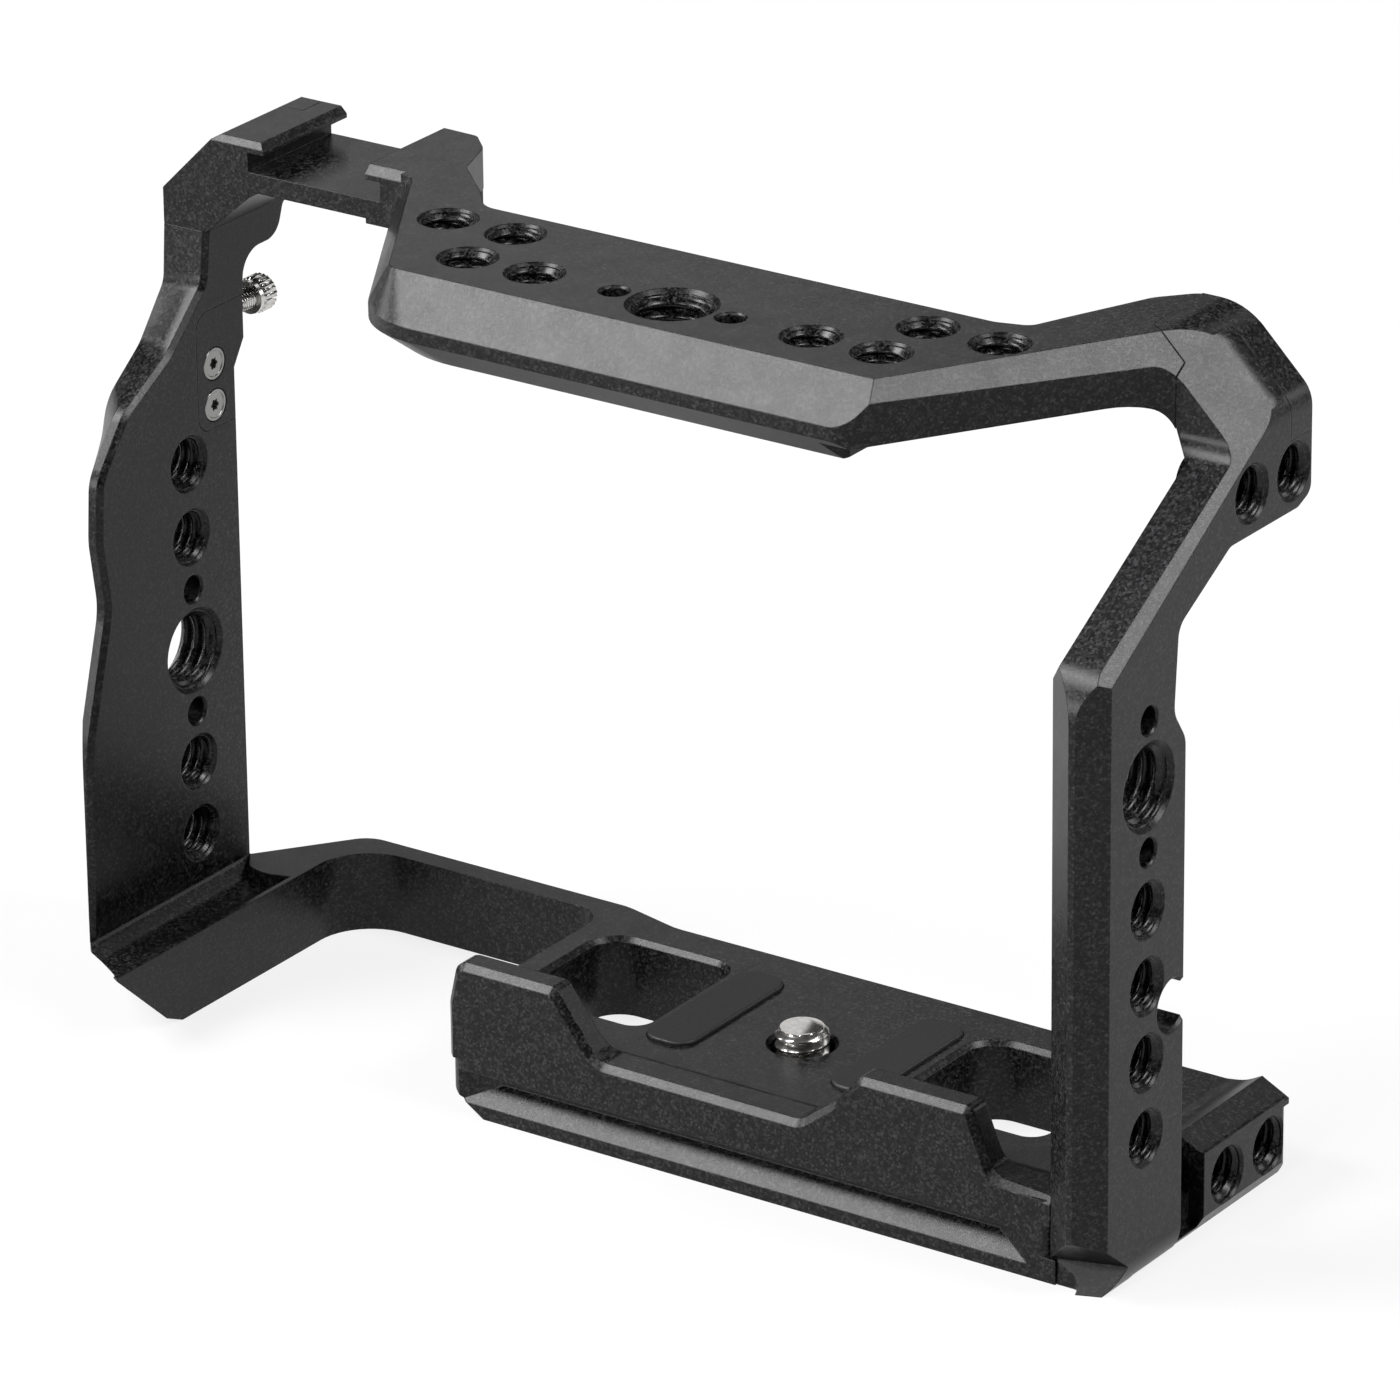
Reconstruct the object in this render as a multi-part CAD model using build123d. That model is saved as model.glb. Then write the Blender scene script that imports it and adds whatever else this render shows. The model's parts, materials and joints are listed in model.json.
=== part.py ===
from build123d import *
import os

# Camera cage for a full-frame mirrorless camera body, in millimetres.
# Frame: X to the right seen from the front, Y towards the back of the camera, Z up.
# The origin is on the camera screw's axis, level with the seat the camera rests on.

# ---- driving dimensions -------------------------------------------------------------
BASE_T = 9.8                  # base plate thickness; its top is the seat, z = 0
TOP_Z = 92.0                  # top of the top plate
FRONT_Y = -19.5               # front face of the base, also the dovetail's front face
REAR_Y = 18.2                 # rear face of the base, also the dovetail's rear face
TOP_REAR_Y = 20.0             # rear face of the top plate's two ends
WALL_IN = -84.5               # inner face of the left side plate
WALL_OUT = -90.6              # outer face of the left side plate
COL_IN = 45.5                 # inner face of the right column
COL_OUT = 53.6                # outer face of the right column
PLATE_FOOT = -0.4             # joint between base and left side plate
PLATE_HEAD = 79.5             # joint between left side plate and top plate
COLUMN_HEAD = 79.1            # joint between column and top plate, behind the corner
GAP = 0.05                    # working gap where two machined faces meet

# ---- standard sizes -----------------------------------------------------------------
QUARTER_R = 3.175             # 1/4 in - 20 thread, major radius
QUARTER_MOUTH_R = 3.5
THREE_EIGHTHS_R = 4.7625      # 3/8 in - 16 thread, major radius
THREE_EIGHTHS_MOUTH_R = 5.25
PIN_R = 1.6                   # locating pin holes beside each 3/8 in thread
PIN_MOUTH_R = 1.85
PIN_PITCH = 7.67              # from a 3/8 in thread to its locating pins
M3_R = 1.5
M3_HEAD_R = 2.75
M3_HEAD_H = 1.65
M3_SINK = 1.8                 # depth of the assembly screws' counterbores
M25_R = 1.25
M25_HEAD_R = 2.25
M25_HEAD_H = 2.5

# ---- base plate ---------------------------------------------------------------------
BAR_IN = -75.7                # inner wall of the left bar
GRIP_RIGHT = -39.2            # right wall of the battery opening
GRIP_REAR = 17.3              # rear wall of the battery opening
STEP_Y = 20.2                 # rear face behind the battery opening
LIP_LEFT = -35.5              # left end of the front lip
LIP_BACK = -16.2              # rear face of the front lip's humps
HUMP_Z = 8.9                  # top of both humps
LIP_Z = 1.2                   # top of the low lip that clears the lens
WINDOW_FRONT = -6.4
WINDOW_REAR = 13.0
WINDOWS = ((-35.8, -18.0), (16.2, 35.5))
BLOCK_OUT = 53.1              # outer face of the rear right block
BLOCK_FRONT = 0.2
BLOCK_HOLES = (5.1, 14.0)     # y of its two 1/4 in threads
PADS = (((-16.5, -8.8), (-10.0, 12.8)), ((8.1, -8.0), (14.3, 13.2)))
PAD_PROUD = 0.5
PAD_DEPTH = 1.0
SCREW_HOLE_R = 3.75
HEAD_BORE_R = 6.55
LEDGE_Z = -3.7                # ledge that stops the camera screw's washer
RING_OUT_R = 7.2
RING_IN_R = 5.3
RING_T = 0.8
RING_Z = -9.5
HEAD_R = 6.42
HEAD_T = 2.0
WASHER_T = 0.5
SCREW_TIP = 2.1               # how far the thread stands above the seat at rest
SCREW_R = 3.13                # major radius of the camera screw's own thread
FOOT_SCREWS = ((-87.0, 5.2), (-87.0, -8.0))
TONGUE_FRONT = -13.8          # tongue of the base that carries the column
TONGUE_OUT = 51.0
TONGUE_Z = -5.2
SOLE_OUT = 52.2               # thin sole of the tongue that shows under the column
SOLE_Z = -9.2
LUG_OUT = 46.2                # end of the base's front face, under the column's corner
LUG_Z = -6.9
COLUMN_SCREW = (48.2, -9.2)

# ---- left side plate ----------------------------------------------------------------
LEFT_AXIS_Y = -0.7
LEFT_QUARTER_Z = (52.5, 43.4, 15.1, 6.0)
LEFT_THREE_EIGHTHS_Z = 29.2
INSERT_DEPTH = 3.5
INSERT_SCREWS = ((4.7, 63.2), (4.7, 58.1))
LOCK_X = -86.2
LOCK_Z = 68.2
LOCK_WASHER_Y = 13.6
LOCK_WASHER_T = 0.6
LOCK_SHANK = 8.0
HEAD_SCREWS = ((-87.2, 82.6), (-83.0, 86.8))   # x, z of the screws into the top plate

# ---- top plate ----------------------------------------------------------------------
BAR_FRONT = -25.9
BAR_REAR = 0.3
BAR_BOTTOM = 82.9
ARM_BOTTOM = 85.1
SHOE_FRONT = 4.0
SHOE_FLOOR = 88.05
SHOE_LIP = 90.4
SHOE_LEFT = -78.2
SHOE_RIGHT = -59.5
RAIL_LEFT = -75.9
RAIL_RIGHT = -61.6
BRIDGE_BOTTOM = 85.7
SPLIT_X = -79.4               # inner side of the left plate's tongue
SPLIT_Y = 16.2                # front side of the left plate's tongue
RAIL_BEVEL_Z = 91.0           # lower edge of the bevel at the rails' front ends
RIB_REAR = -8.0               # rear edge of the thicker rib under the bar
RIB_FOOT = -10.65             # the same at the rib's underside
BAR_LEFT = (-44.72, -12.95)   # a point of the bar's left edge on the top face
BAR_LEFT_N = (-0.86, -0.511)  # its outward normal in plan
BAR_LEVELS = ((TOP_Z, -21.3, 0.0, 2.5), (87.4, BAR_FRONT, 2.5, 11.0),    # z, front y, offset of the
              (85.8, BAR_FRONT, 2.5, 11.0), (BAR_BOTTOM, -23.0, -0.5, 14.0))   # left edge, corner radius
TOP_QUARTER = ((-43.3, -5.1), (-34.1, -5.1), (-34.1, -14.15), (-25.1, -14.15),
               (11.3, -14.15), (20.4, -14.15), (20.4, -5.1), (29.6, -5.1))
TOP_THREE_EIGHTHS = (-6.8, -14.15)
ARM_SLOPE = 1.535             # run of the arm's inner wall in plan
ARM_CORNER = (44.0, 6.0)      # where that wall would meet the front wall of the corner
ARM_CORNER_R = 4.0
ARM_START = 39.6              # where the arm's end is taken over by the corner's own block
ARM_END = 47.0
HAUNCH_Z = 79.5
CORNER_N = (0.648, -0.402, 0.647)   # the bevel shared by the arm, the corner and the strut
CORNER_D = 83.69
CORNER_SCREWS = ((49.3, 82.5), (44.0, 87.6))

# ---- right column -------------------------------------------------------------------
COL_FRONT = -23.4
COL_REAR = -5.5
COL_AXIS_Y = -12.95
COL_QUARTER_Z = (34.4, 25.4, 16.3, 7.3)
COL_THREE_EIGHTHS_Z = 48.8
CORNER_QUARTER = ((7.6, 75.7), (16.3, 75.4))
SAFETY_HOLE = (-7.6, 21.1)
SAFETY_HOLE_R = 2.9
WALL_Y = 6.0                  # front wall of the corner above the strut
NOTCH_Z = -6.73               # bottom of the foot's V notch at the inner face
TOE_LEFT = 49.3               # left side of the toe under the notch
CLAMP_Y = -19.2               # wall beside the toe, just behind the base's front face
STRUT_SLOPE = 0.605
STRUT_Y = -12.59              # a point of the strut's front face, at the column's inner face
STRUT_Z = 69.18
BEVEL_Z = 65.8                # where the strut's bevel meets the column's inner face
BEVEL_END = (46.9, 4.5, 79.5)  # where it runs out, just under the arm's haunch

OUT = "parts"
os.makedirs(OUT, exist_ok=True)


def save(name, solid):
    """Write one sub-part's solid or solids to parts/NAME.step."""
    solid.label = name
    export_step(solid, f"{OUT}/{name}.step")


def section(points, radii=None):
    """A closed face in local x, y; radii maps a corner's index to its rounding."""
    if not radii:
        return make_face(Polyline(*points, close=True))
    rounding = [radii.get(i, 0) for i in range(len(points))]
    return make_face(FilletPolyline(*points, radius=rounding, close=True))


def plan_solid(points, low, high, radii=None):
    """Extrude an outline given in (x, y) between two heights."""
    return extrude(Plane.XY.offset(low) * section(points, radii), high - low, dir=(0, 0, 1))


def side_solid(points, x_low, x_high, radii=None):
    """Extrude an outline given in (y, z) between two x positions."""
    return extrude(Plane.YZ.offset(x_low) * section(points, radii), x_high - x_low, dir=(1, 0, 0))


def front_solid(points, y_low, y_high, radii=None):
    """Extrude an outline given in (x, z) between two y positions."""
    plane = Plane(origin=(0, y_low, 0), x_dir=(1, 0, 0), z_dir=(0, -1, 0))
    return extrude(plane * section(points, radii), y_high - y_low, dir=(0, 1, 0))


def half_space(point, normal, size=240):
    """A large block beyond the plane through a point, on its normal's side."""
    plane = Plane(origin=point, z_dir=normal)
    return plane * Pos(0, 0, size / 2) * Box(size, size, size)


def rod(start, direction, radius, length):
    """A round bar from a start point along a direction."""
    plane = Plane(origin=start, z_dir=direction)
    return plane * Pos(0, 0, length / 2) * Cylinder(radius, length)


def mouth(start, direction, mouth_radius, radius):
    """The 45 degree countersink that opens a hole, from its mouth inwards."""
    plane = Plane(origin=start, z_dir=direction)
    depth = mouth_radius - radius
    return plane * Pos(0, 0, depth / 2) * Cone(mouth_radius, radius, depth)


def through_hole(start, direction, radius, mouth_radius, length):
    """A hole with a countersunk mouth at both ends; length is the wall it crosses."""
    unit = Vector(*direction)
    end = Vector(*start) + unit * length
    hole = rod(Vector(*start) - unit, direction, radius, length + 2)
    hole += mouth(start, direction, mouth_radius, radius)
    return hole + mouth(end, unit * -1, mouth_radius, radius)


def blind_hole(start, direction, radius, mouth_radius, depth):
    """A hole with a countersunk mouth and the cone that a drill leaves at its end."""
    unit = Vector(*direction)
    hole = rod(Vector(*start) - unit, direction, radius, depth + 1)
    hole += mouth(start, direction, mouth_radius, radius)
    tip = Plane(origin=Vector(*start) + unit * depth, z_dir=direction)
    return hole + tip * Pos(0, 0, radius * 0.3) * Cone(radius, 0.01, radius * 0.6)


def locating_group(centre, direction, along, length):
    """A 3/8 in thread with its two locating pin holes."""
    group = through_hole(centre, direction, THREE_EIGHTHS_R, THREE_EIGHTHS_MOUTH_R, length)
    for side in (-1, 1):
        spot = Vector(*centre) + Vector(*along) * (side * PIN_PITCH)
        group += through_hole(spot, direction, PIN_R, PIN_MOUTH_R, length)
    return group


def edges_in(solid, low, high):
    """The solid's edges whose middle lies inside the box between two corners."""
    chosen = []
    for edge in solid.edges():
        c = edge.center()
        if all(a <= v <= b for a, v, b in zip(low, (c.X, c.Y, c.Z), high)):
            chosen.append(edge)
    return chosen


def circles_at(solid, centre):
    """The solid's circular edges that are drawn round one centre."""
    found = []
    for edge in solid.edges().filter_by(GeomType.CIRCLE):
        if (edge.arc_center - Vector(*centre)).length < 0.01:
            found.append(edge)
    return found


def assembly_hole(seat, direction, thread_length):
    """Clearance hole and counterbore for an M3 screw whose head rests at the seat."""
    unit = Vector(*direction)
    hole = rod(seat, direction, M3_R + GAP, thread_length + 0.3)
    return hole + rod(Vector(*seat) - unit * 6, direction, M3_HEAD_R + 0.15, 6)


def m3_screw(seat, direction, thread_length):
    """Cap screw with a low head and a hexagon socket, its head resting at the seat."""
    unit = Vector(*direction)
    back = Plane(origin=Vector(*seat) - unit * M3_HEAD_H, z_dir=direction)
    head = rod(Vector(*seat) - unit * M3_HEAD_H, direction, M3_HEAD_R, M3_HEAD_H)
    head = chamfer(circles_at(head, back.origin), 0.3)
    socket = extrude(back * RegularPolygon(1.0 / 0.866, 6), 1.0, dir=direction)
    return head - socket + rod(seat, direction, M3_R, thread_length)


# ---- base plate ---------------------------------------------------------------------
def dovetail_groove(y_face, inward, x_low, x_high):
    """Quick-release dovetail groove along a long face, with slanted run-out ends."""
    depth = 2.2
    top = -4.3
    shelf = -6.0
    bottom = -8.2
    runout = 5.0
    plan = [(x_low, y_face), (x_low + runout, y_face + inward * depth),
            (x_high - runout, y_face + inward * depth), (x_high, y_face),
            (x_high, y_face - inward), (x_low, y_face - inward)]
    groove = plan_solid(plan, bottom, top)
    return groove - half_space((0, y_face + inward * depth, shelf), (0, inward, -1), 200)


def base_body():
    outline = [(LIP_LEFT, FRONT_Y), (COL_IN - GAP, FRONT_Y), (COL_IN - GAP, -4.9), (49.8, -4.9),
               (49.8, BLOCK_FRONT), (BLOCK_OUT, BLOCK_FRONT), (BLOCK_OUT, REAR_Y),
               (-30.0, REAR_Y), (-38.0, STEP_Y), (-75.4, STEP_Y), (-84.3, 8.4), (WALL_OUT, 8.4),
               (WALL_OUT, -11.1), (-85.05, -21.7), (-80.6, -26.4), (BAR_IN, -28.6),
               (BAR_IN, GRIP_REAR), (GRIP_RIGHT, GRIP_REAR), (GRIP_RIGHT, -13.5),
               (LIP_LEFT, -15.6)]
    rounding = {0: 2.2, 1: 1.5, 6: 1.5, 7: 8, 8: 8, 9: 4, 12: 2, 13: 4, 14: 5, 16: 7, 17: 4, 18: 2}
    return plan_solid(outline, -BASE_T, 0, rounding)


def front_lip():
    """Raised lip with two humps; the dip between them clears the lens."""
    front = [(LIP_LEFT, -3.0), (LIP_LEFT, 3.6), (-34.3, HUMP_Z), (-20.7, HUMP_Z), (-14.9, LIP_Z),
             (12.4, LIP_Z - 0.1), (17.0, 4.6), (20.4, 8.5), (34.9, 8.5), (37.6, LIP_Z + 0.6),
             (39.0, LIP_Z - 0.3), (COL_IN - GAP, 0.4), (COL_IN - GAP, -3.0)]
    rounding = {1: 4, 2: 1.8, 3: 1.2, 4: 2.4, 5: 2.4, 6: 4, 7: 1.2, 8: 1.2, 9: 1.5}
    side = [(FRONT_Y, -3), (FRONT_Y, 12), (LIP_BACK, 12), (LIP_BACK, 0), (-9, 0), (-9, -3)]
    lip = side_solid(side, LIP_LEFT, COL_IN - GAP, {3: 3.6}) & front_solid(front, FRONT_Y, -9, rounding)
    lip = chamfer(edges_in(lip, (-34.6, FRONT_Y - 0.01, 0.3), (COL_IN - 0.5, FRONT_Y + 0.01, 12)), 0.8)
    ramp = [(FRONT_Y + 1, -2), (-13.0, -2), (-13.0, 0), (-17.5, LIP_Z - 0.2), (FRONT_Y + 1, LIP_Z - 0.2)]
    return lip + side_solid(ramp, -17.5, 15.0)


def pad_block(low, high, z_low, z_high, grow):
    (x0, y0), (x1, y1) = low, high
    points = [(x0 - grow, y0 - grow), (x1 + grow, y0 - grow), (x1 + grow, y1 + grow), (x0 - grow, y1 + grow)]
    return plan_solid(points, z_low, z_high, {i: 2.6 + grow for i in range(4)})


def tongue(grow):
    """Tongue with its thin sole, and the lug beside it, that reach under the column."""
    deep = plan_solid([(44.0, TONGUE_FRONT - grow), (TONGUE_OUT + grow, TONGUE_FRONT - grow),
                       (TONGUE_OUT + grow, 1), (44.0, 1)], -BASE_T - grow, TONGUE_Z + grow, {1: 1.5})
    sole = plan_solid([(44.0, TONGUE_FRONT - grow), (SOLE_OUT + grow * 40, TONGUE_FRONT - grow),
                       (SOLE_OUT + grow * 40, 1), (44.0, 1)], -BASE_T - grow, SOLE_Z + grow)
    lug_front = FRONT_Y - grow * 20
    lug = plan_solid([(44.0, lug_front), (LUG_OUT + grow, lug_front), (LUG_OUT + grow, -15.0),
                      (44.0, -15.0)], -BASE_T - grow, LUG_Z + grow)
    return deep + sole + lug


def base_plate():
    body = base_body()

    # Windows through the middle, with light bevels round their upper edges.
    for low, high in WINDOWS:
        window = [(low, WINDOW_FRONT), (high, WINDOW_FRONT), (high, WINDOW_REAR), (low, WINDOW_REAR)]
        body -= plan_solid(window, -BASE_T - 1, 1, {0: 2, 1: 2, 2: 3, 3: 4})
        rim = edges_in(body, (low - 0.1, WINDOW_FRONT - 0.1, -0.01), (high + 0.1, WINDOW_REAR + 0.1, 0.01))
        body = chamfer(rim, 0.6)
    body += front_lip()

    # Slanted underside of the left bar's front end and its rounded outer edge.
    body -= half_space((BAR_IN, -28.6, -0.4), (-0.41, -0.65, -0.72))
    body -= half_space((BAR_IN, -17.8, -9.3), (-0.25, -0.4, -0.9))
    edge = front_solid([(WALL_OUT - 1, -BASE_T - 1), (-86.1, -BASE_T - 1), (-86.1, -5.3),
                        (WALL_OUT - 1, -5.3)], -40, 9)
    edge -= rod((-86.1, -41, -5.3), (0, 1, 0), 4.5, 51)
    body -= edge

    # Undercut corner at the lip's lower left end.
    body -= half_space((LIP_LEFT, FRONT_Y, -6.6), (-0.547, 0, -0.837)) & Pos(-35, -17, -8) * Box(12, 6.8, 8)

    # Step down to the joint with the left side plate.
    body -= plan_solid([(-95, -40), (WALL_IN, -40), (WALL_IN, 30), (-95, 30)], PLATE_FOOT - GAP, 2)

    # Trough along the left bar.
    trough = [(-84.5, 0.6), (-84.5, -0.2), (-82.6, -1.7), (-79.8, -2.0), (-77.2, -1.2),
              (-76.4, 0.0), (-76.4, 0.6)]
    channel = front_solid(trough, -40, 12, {1: 1.2, 2: 2.5, 3: 2.5, 4: 1.0})
    end = [(-90, 9), (-84.6, 8.6), (-82.4, 5.4), (-79.6, 4.6), (-76.2, 5.7), (-70, 8), (-70, 14), (-90, 14)]
    body -= channel - plan_solid(end, -3, 3, {1: 1.5, 2: 2.5, 3: 4})

    # Raised ridge and bevelled lower edge of the rear right block.
    ridge = [(45.0, -1.0), (45.0, 0.0), (47.4, 0.35), (49.6, 1.5), (BLOCK_OUT, -0.3), (BLOCK_OUT, -1.0)]
    body += front_solid(ridge, BLOCK_FRONT, REAR_Y, {2: 6})
    body += tongue(0)
    body -= half_space((BLOCK_OUT, 0, -7.8), (0.84, 0, -0.54), 90)

    # Dovetail grooves on both long faces.
    body -= dovetail_groove(FRONT_Y, 1, -34.2, 42.6)
    body -= dovetail_groove(REAR_Y, -1, -26.0, 39.5)

    # Camera screw hole, counterbore and the groove for its retaining ring.
    body -= rod((0, 0, -6), (0, 0, 1), SCREW_HOLE_R, 8)
    body -= mouth((0, 0, 0), (0, 0, -1), SCREW_HOLE_R + 0.4, SCREW_HOLE_R)
    body -= rod((0, 0, LEDGE_Z), (0, 0, -1), HEAD_BORE_R, 8)
    body -= rod((0, 0, RING_Z - GAP), (0, 0, 1), RING_OUT_R + GAP, RING_T + 2 * GAP)

    # Recesses for the two rubber pads.
    for low, high in PADS:
        body -= pad_block(low, high, -PAD_DEPTH, 2.0, GAP)

    # Threads in the rear right block, and the assembly screws' holes.
    for y in BLOCK_HOLES:
        body -= blind_hole((BLOCK_OUT, y, -4.5), (-1, 0, 0), QUARTER_R, QUARTER_MOUTH_R, 10.0)
    for x, y in FOOT_SCREWS + (COLUMN_SCREW,):
        body -= assembly_hole((x, y, -BASE_T + M3_SINK), (0, 0, 1), 12)
    return body


# ---- camera screw and its parts -----------------------------------------------------
def camera_screw():
    head_top = RING_Z + RING_T + GAP + HEAD_T
    head = rod((0, 0, head_top - HEAD_T), (0, 0, 1), HEAD_R, HEAD_T)
    head = chamfer(circles_at(head, (0, 0, head_top - HEAD_T)), 0.4)
    slot = Pos(0, 0, head_top - HEAD_T + 0.5) * Box(9.0, 1.6, 1.2)
    stem = rod((0, 0, head_top), (0, 0, 1), SCREW_R, SCREW_TIP - head_top)
    stem = chamfer(circles_at(stem, (0, 0, SCREW_TIP)), 0.6)
    return head - slot + stem


def camera_screw_washer():
    low = RING_Z + RING_T + GAP + HEAD_T + GAP
    disc = rod((0, 0, low), (0, 0, 1), HEAD_R, WASHER_T)
    return disc - rod((0, 0, low - 1), (0, 0, 1), SCREW_R + 0.08, WASHER_T + 2)


def retaining_ring():
    """Internal snap ring with an open gap and an eye at each end."""
    ring = rod((0, 0, RING_Z), (0, 0, 1), RING_OUT_R, RING_T)
    ring -= rod((0, 0, RING_Z - 1), (0, 0, 1), RING_IN_R, RING_T + 2)
    ring -= Pos(0, -RING_OUT_R, RING_Z) * Box(3.0, 2 * RING_OUT_R - 6, 4)
    return ring


def pad(low, high):
    block = pad_block(low, high, -PAD_DEPTH + 0.02, PAD_PROUD, 0)
    return fillet(edges_in(block, (-40, -20, PAD_PROUD - 0.01), (40, 20, PAD_PROUD + 0.01)), 0.3)


# ---- left side plate ----------------------------------------------------------------
def flange_profile(inner):
    """Front view of the cage's upper left corner, up to an inner limit in x."""
    points = [(WALL_OUT, PLATE_HEAD), (WALL_OUT, 83.9), (-83.4, 91.1), (-82.4, 91.7), (inner, 91.7)]
    if inner > SHOE_LEFT:
        points += [(inner, SHOE_LIP), (SHOE_LEFT, SHOE_LIP), (SHOE_LEFT, 84.9)]
    else:
        points += [(inner, 83.9)]
    return points + [(WALL_IN, PLATE_HEAD)]


def insert_block(x_low, x_high, grow):
    points = [(1.4 - grow, 55.4 - grow), (8.4 + grow, 55.4 - grow), (8.4 + grow, 61.6 - grow),
              (10.35 + grow, 64.7 - grow), (10.35 + grow, 70.0 + grow), (1.4 - grow, 70.0 + grow)]
    return side_solid(points, x_low, x_high, {0: 2, 5: 2})


def left_side_plate():
    """Tapered in front: the front edge moves back towards the outer face."""
    rear = [(TOP_REAR_Y, PLATE_HEAD), (18.6, 78.8), (17.3, 75.1), (10.6, 75.1), (10.4, 64.7),
            (8.4, 61.6), (8.4, PLATE_FOOT)]
    inner_front = [(-21.7, PLATE_FOOT), (-21.0, 23.2), (-16.4, 39.5), (-17.7, 48.0), (-17.2, 55.5),
                   (-12.0, 62.2), (-3.6, 66.9), (3.3, 73.4), (4.0, PLATE_HEAD)]
    outer_front = [(-12.7, PLATE_FOOT), (-12.0, 23.2), (-8.4, 39.5), (-9.0, 48.0), (-9.2, 56.5),
                   (-7.8, 61.6), (-1.4, 66.4), (3.5, 72.6), (4.0, PLATE_HEAD)]
    rounding = {1: 20, 2: 9, 3: 9, 4: 5, 5: 6, 6: 8, 7: 3, 10: 0.8, 11: 2.8, 12: 3.4, 13: 1.5, 14: 1.5}
    slab = side_solid(inner_front + rear, -86.2, WALL_IN, rounding)
    slab = chamfer(edges_in(slab, (WALL_IN - 0.01, -16.5, 57), (WALL_IN + 0.01, 4.5, 79.2)), 0.6)
    near_face = Plane.YZ.offset(-86.2) * section(inner_front + rear, rounding)
    far_face = Plane.YZ.offset(WALL_OUT) * section(outer_front + rear, rounding)
    body = slab + loft([near_face, far_face], ruled=True)
    body -= half_space((-85.05, -21.7, 0), (-153, -79.9, -1.485))
    body += front_solid(flange_profile(SPLIT_X - GAP), SPLIT_Y + GAP, TOP_REAR_Y)

    # Accessory threads down the middle of the plate.
    for z in LEFT_QUARTER_Z:
        body -= through_hole((WALL_OUT, LEFT_AXIS_Y, z), (1, 0, 0), QUARTER_R, QUARTER_MOUTH_R, 6.1)
    body -= locating_group((WALL_OUT, LEFT_AXIS_Y, LEFT_THREE_EIGHTHS_Z), (1, 0, 0), (0, 0, 1), 6.1)

    # Pocket for the strap lug clamp, its screws and the assembly screws.
    body -= insert_block(WALL_IN - INSERT_DEPTH - GAP, WALL_IN + 1, GAP)
    open_rear = [(8.0, 64.7 - GAP), (12.0, 64.7 - GAP), (12.0, 70.0 + GAP), (8.0, 70.0 + GAP)]
    body -= side_solid(open_rear, WALL_IN - INSERT_DEPTH - GAP, WALL_IN + 1)
    for y, z in INSERT_SCREWS:
        body -= rod((WALL_IN, y, z), (-1, 0, 0), 1.0 + GAP, 5.2)
    for x, y in FOOT_SCREWS:
        body -= rod((x, y, -2), (0, 0, 1), M3_R + GAP, 6.2)
    for x, z in HEAD_SCREWS:
        body -= assembly_hole((x, TOP_REAR_Y - M3_SINK, z), (0, -1, 0), 8)
    return body


def lug_clamp_insert():
    body = insert_block(WALL_IN - INSERT_DEPTH, WALL_IN, 0)
    for y, z in INSERT_SCREWS:
        body -= rod((WALL_IN + 1, y, z), (-1, 0, 0), 1.0 + GAP, 6)
        body -= Plane(origin=(WALL_IN, y, z), z_dir=(-1, 0, 0)) * Pos(0, 0, 0.55) * Cone(2.1, 1.0, 1.1)
    return body - rod((LOCK_X, 11, LOCK_Z), (0, -1, 0), M25_R + GAP, 8.6)


def insert_screw(y, z):
    """Flat-head M2 screw, its head level with the clamp's face."""
    plane = Plane(origin=(WALL_IN, y, z), z_dir=(-1, 0, 0))
    head = plane * Pos(0, 0, 0.5) * Cone(2.02, 1.0, 1.0)
    socket = extrude(plane * RegularPolygon(0.65 / 0.866, 6), 0.8, dir=(-1, 0, 0))
    return head + rod((WALL_IN - 0.9, y, z), (-1, 0, 0), 1.0, 4.1) - socket


def lock_screw():
    """Knurled cap screw that clamps the strap lug; it points along -Y."""
    seat = LOCK_WASHER_Y + LOCK_WASHER_T + GAP
    head = rod((LOCK_X, seat, LOCK_Z), (0, 1, 0), M25_HEAD_R, M25_HEAD_H)
    plane = Plane(origin=(LOCK_X, seat + M25_HEAD_H, LOCK_Z), z_dir=(0, -1, 0))
    head = chamfer(circles_at(head, plane.origin), 0.25)
    head -= extrude(plane * RegularPolygon(1.0 / 0.866, 6), 1.3, dir=(0, -1, 0))
    return head + rod((LOCK_X, seat, LOCK_Z), (0, -1, 0), M25_R, LOCK_SHANK)


def lock_washer():
    ring = rod((LOCK_X, LOCK_WASHER_Y, LOCK_Z), (0, 1, 0), 2.0, LOCK_WASHER_T)
    return ring - rod((LOCK_X, LOCK_WASHER_Y - 1, LOCK_Z), (0, 1, 0), M25_R + 0.08, 3)


# ---- corner shared by top plate and column ------------------------------------------
def corner_blank():
    """The arm's end, the corner and the strut in one piece, before they are split."""
    rise = STRUT_Z + STRUT_SLOPE * (WALL_Y - STRUT_Y)
    front_z = STRUT_Z + STRUT_SLOPE * (COL_FRONT - STRUT_Y)
    side = [(COL_FRONT, 40.0), (COL_FRONT, front_z), (WALL_Y, rise), (WALL_Y, TOP_Z),
            (TOP_REAR_Y, TOP_Z), (TOP_REAR_Y, 72.0), (17.3, 70.9), (3.3, 71.0), (-7.1, 65.3),
            (-7.9, 55.5), (COL_REAR, 51.9), (COL_REAR, 40.0)]
    blank = side_solid(side, COL_IN, COL_OUT, {1: 7, 2: 3.5, 5: 1.5, 6: 1.5, 7: 2, 8: 2.5, 9: 3, 10: 3})
    start_y = WALL_Y - (ARM_CORNER[0] - ARM_START) * ARM_SLOPE
    arm_end = [(ARM_START, start_y), ARM_CORNER, (ARM_END, WALL_Y), (ARM_END, TOP_REAR_Y),
               (ARM_START, TOP_REAR_Y)]
    blank += plan_solid(arm_end, HAUNCH_Z, TOP_Z, {1: ARM_CORNER_R}) - haunch_hollow()
    return blank & envelope()


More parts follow.
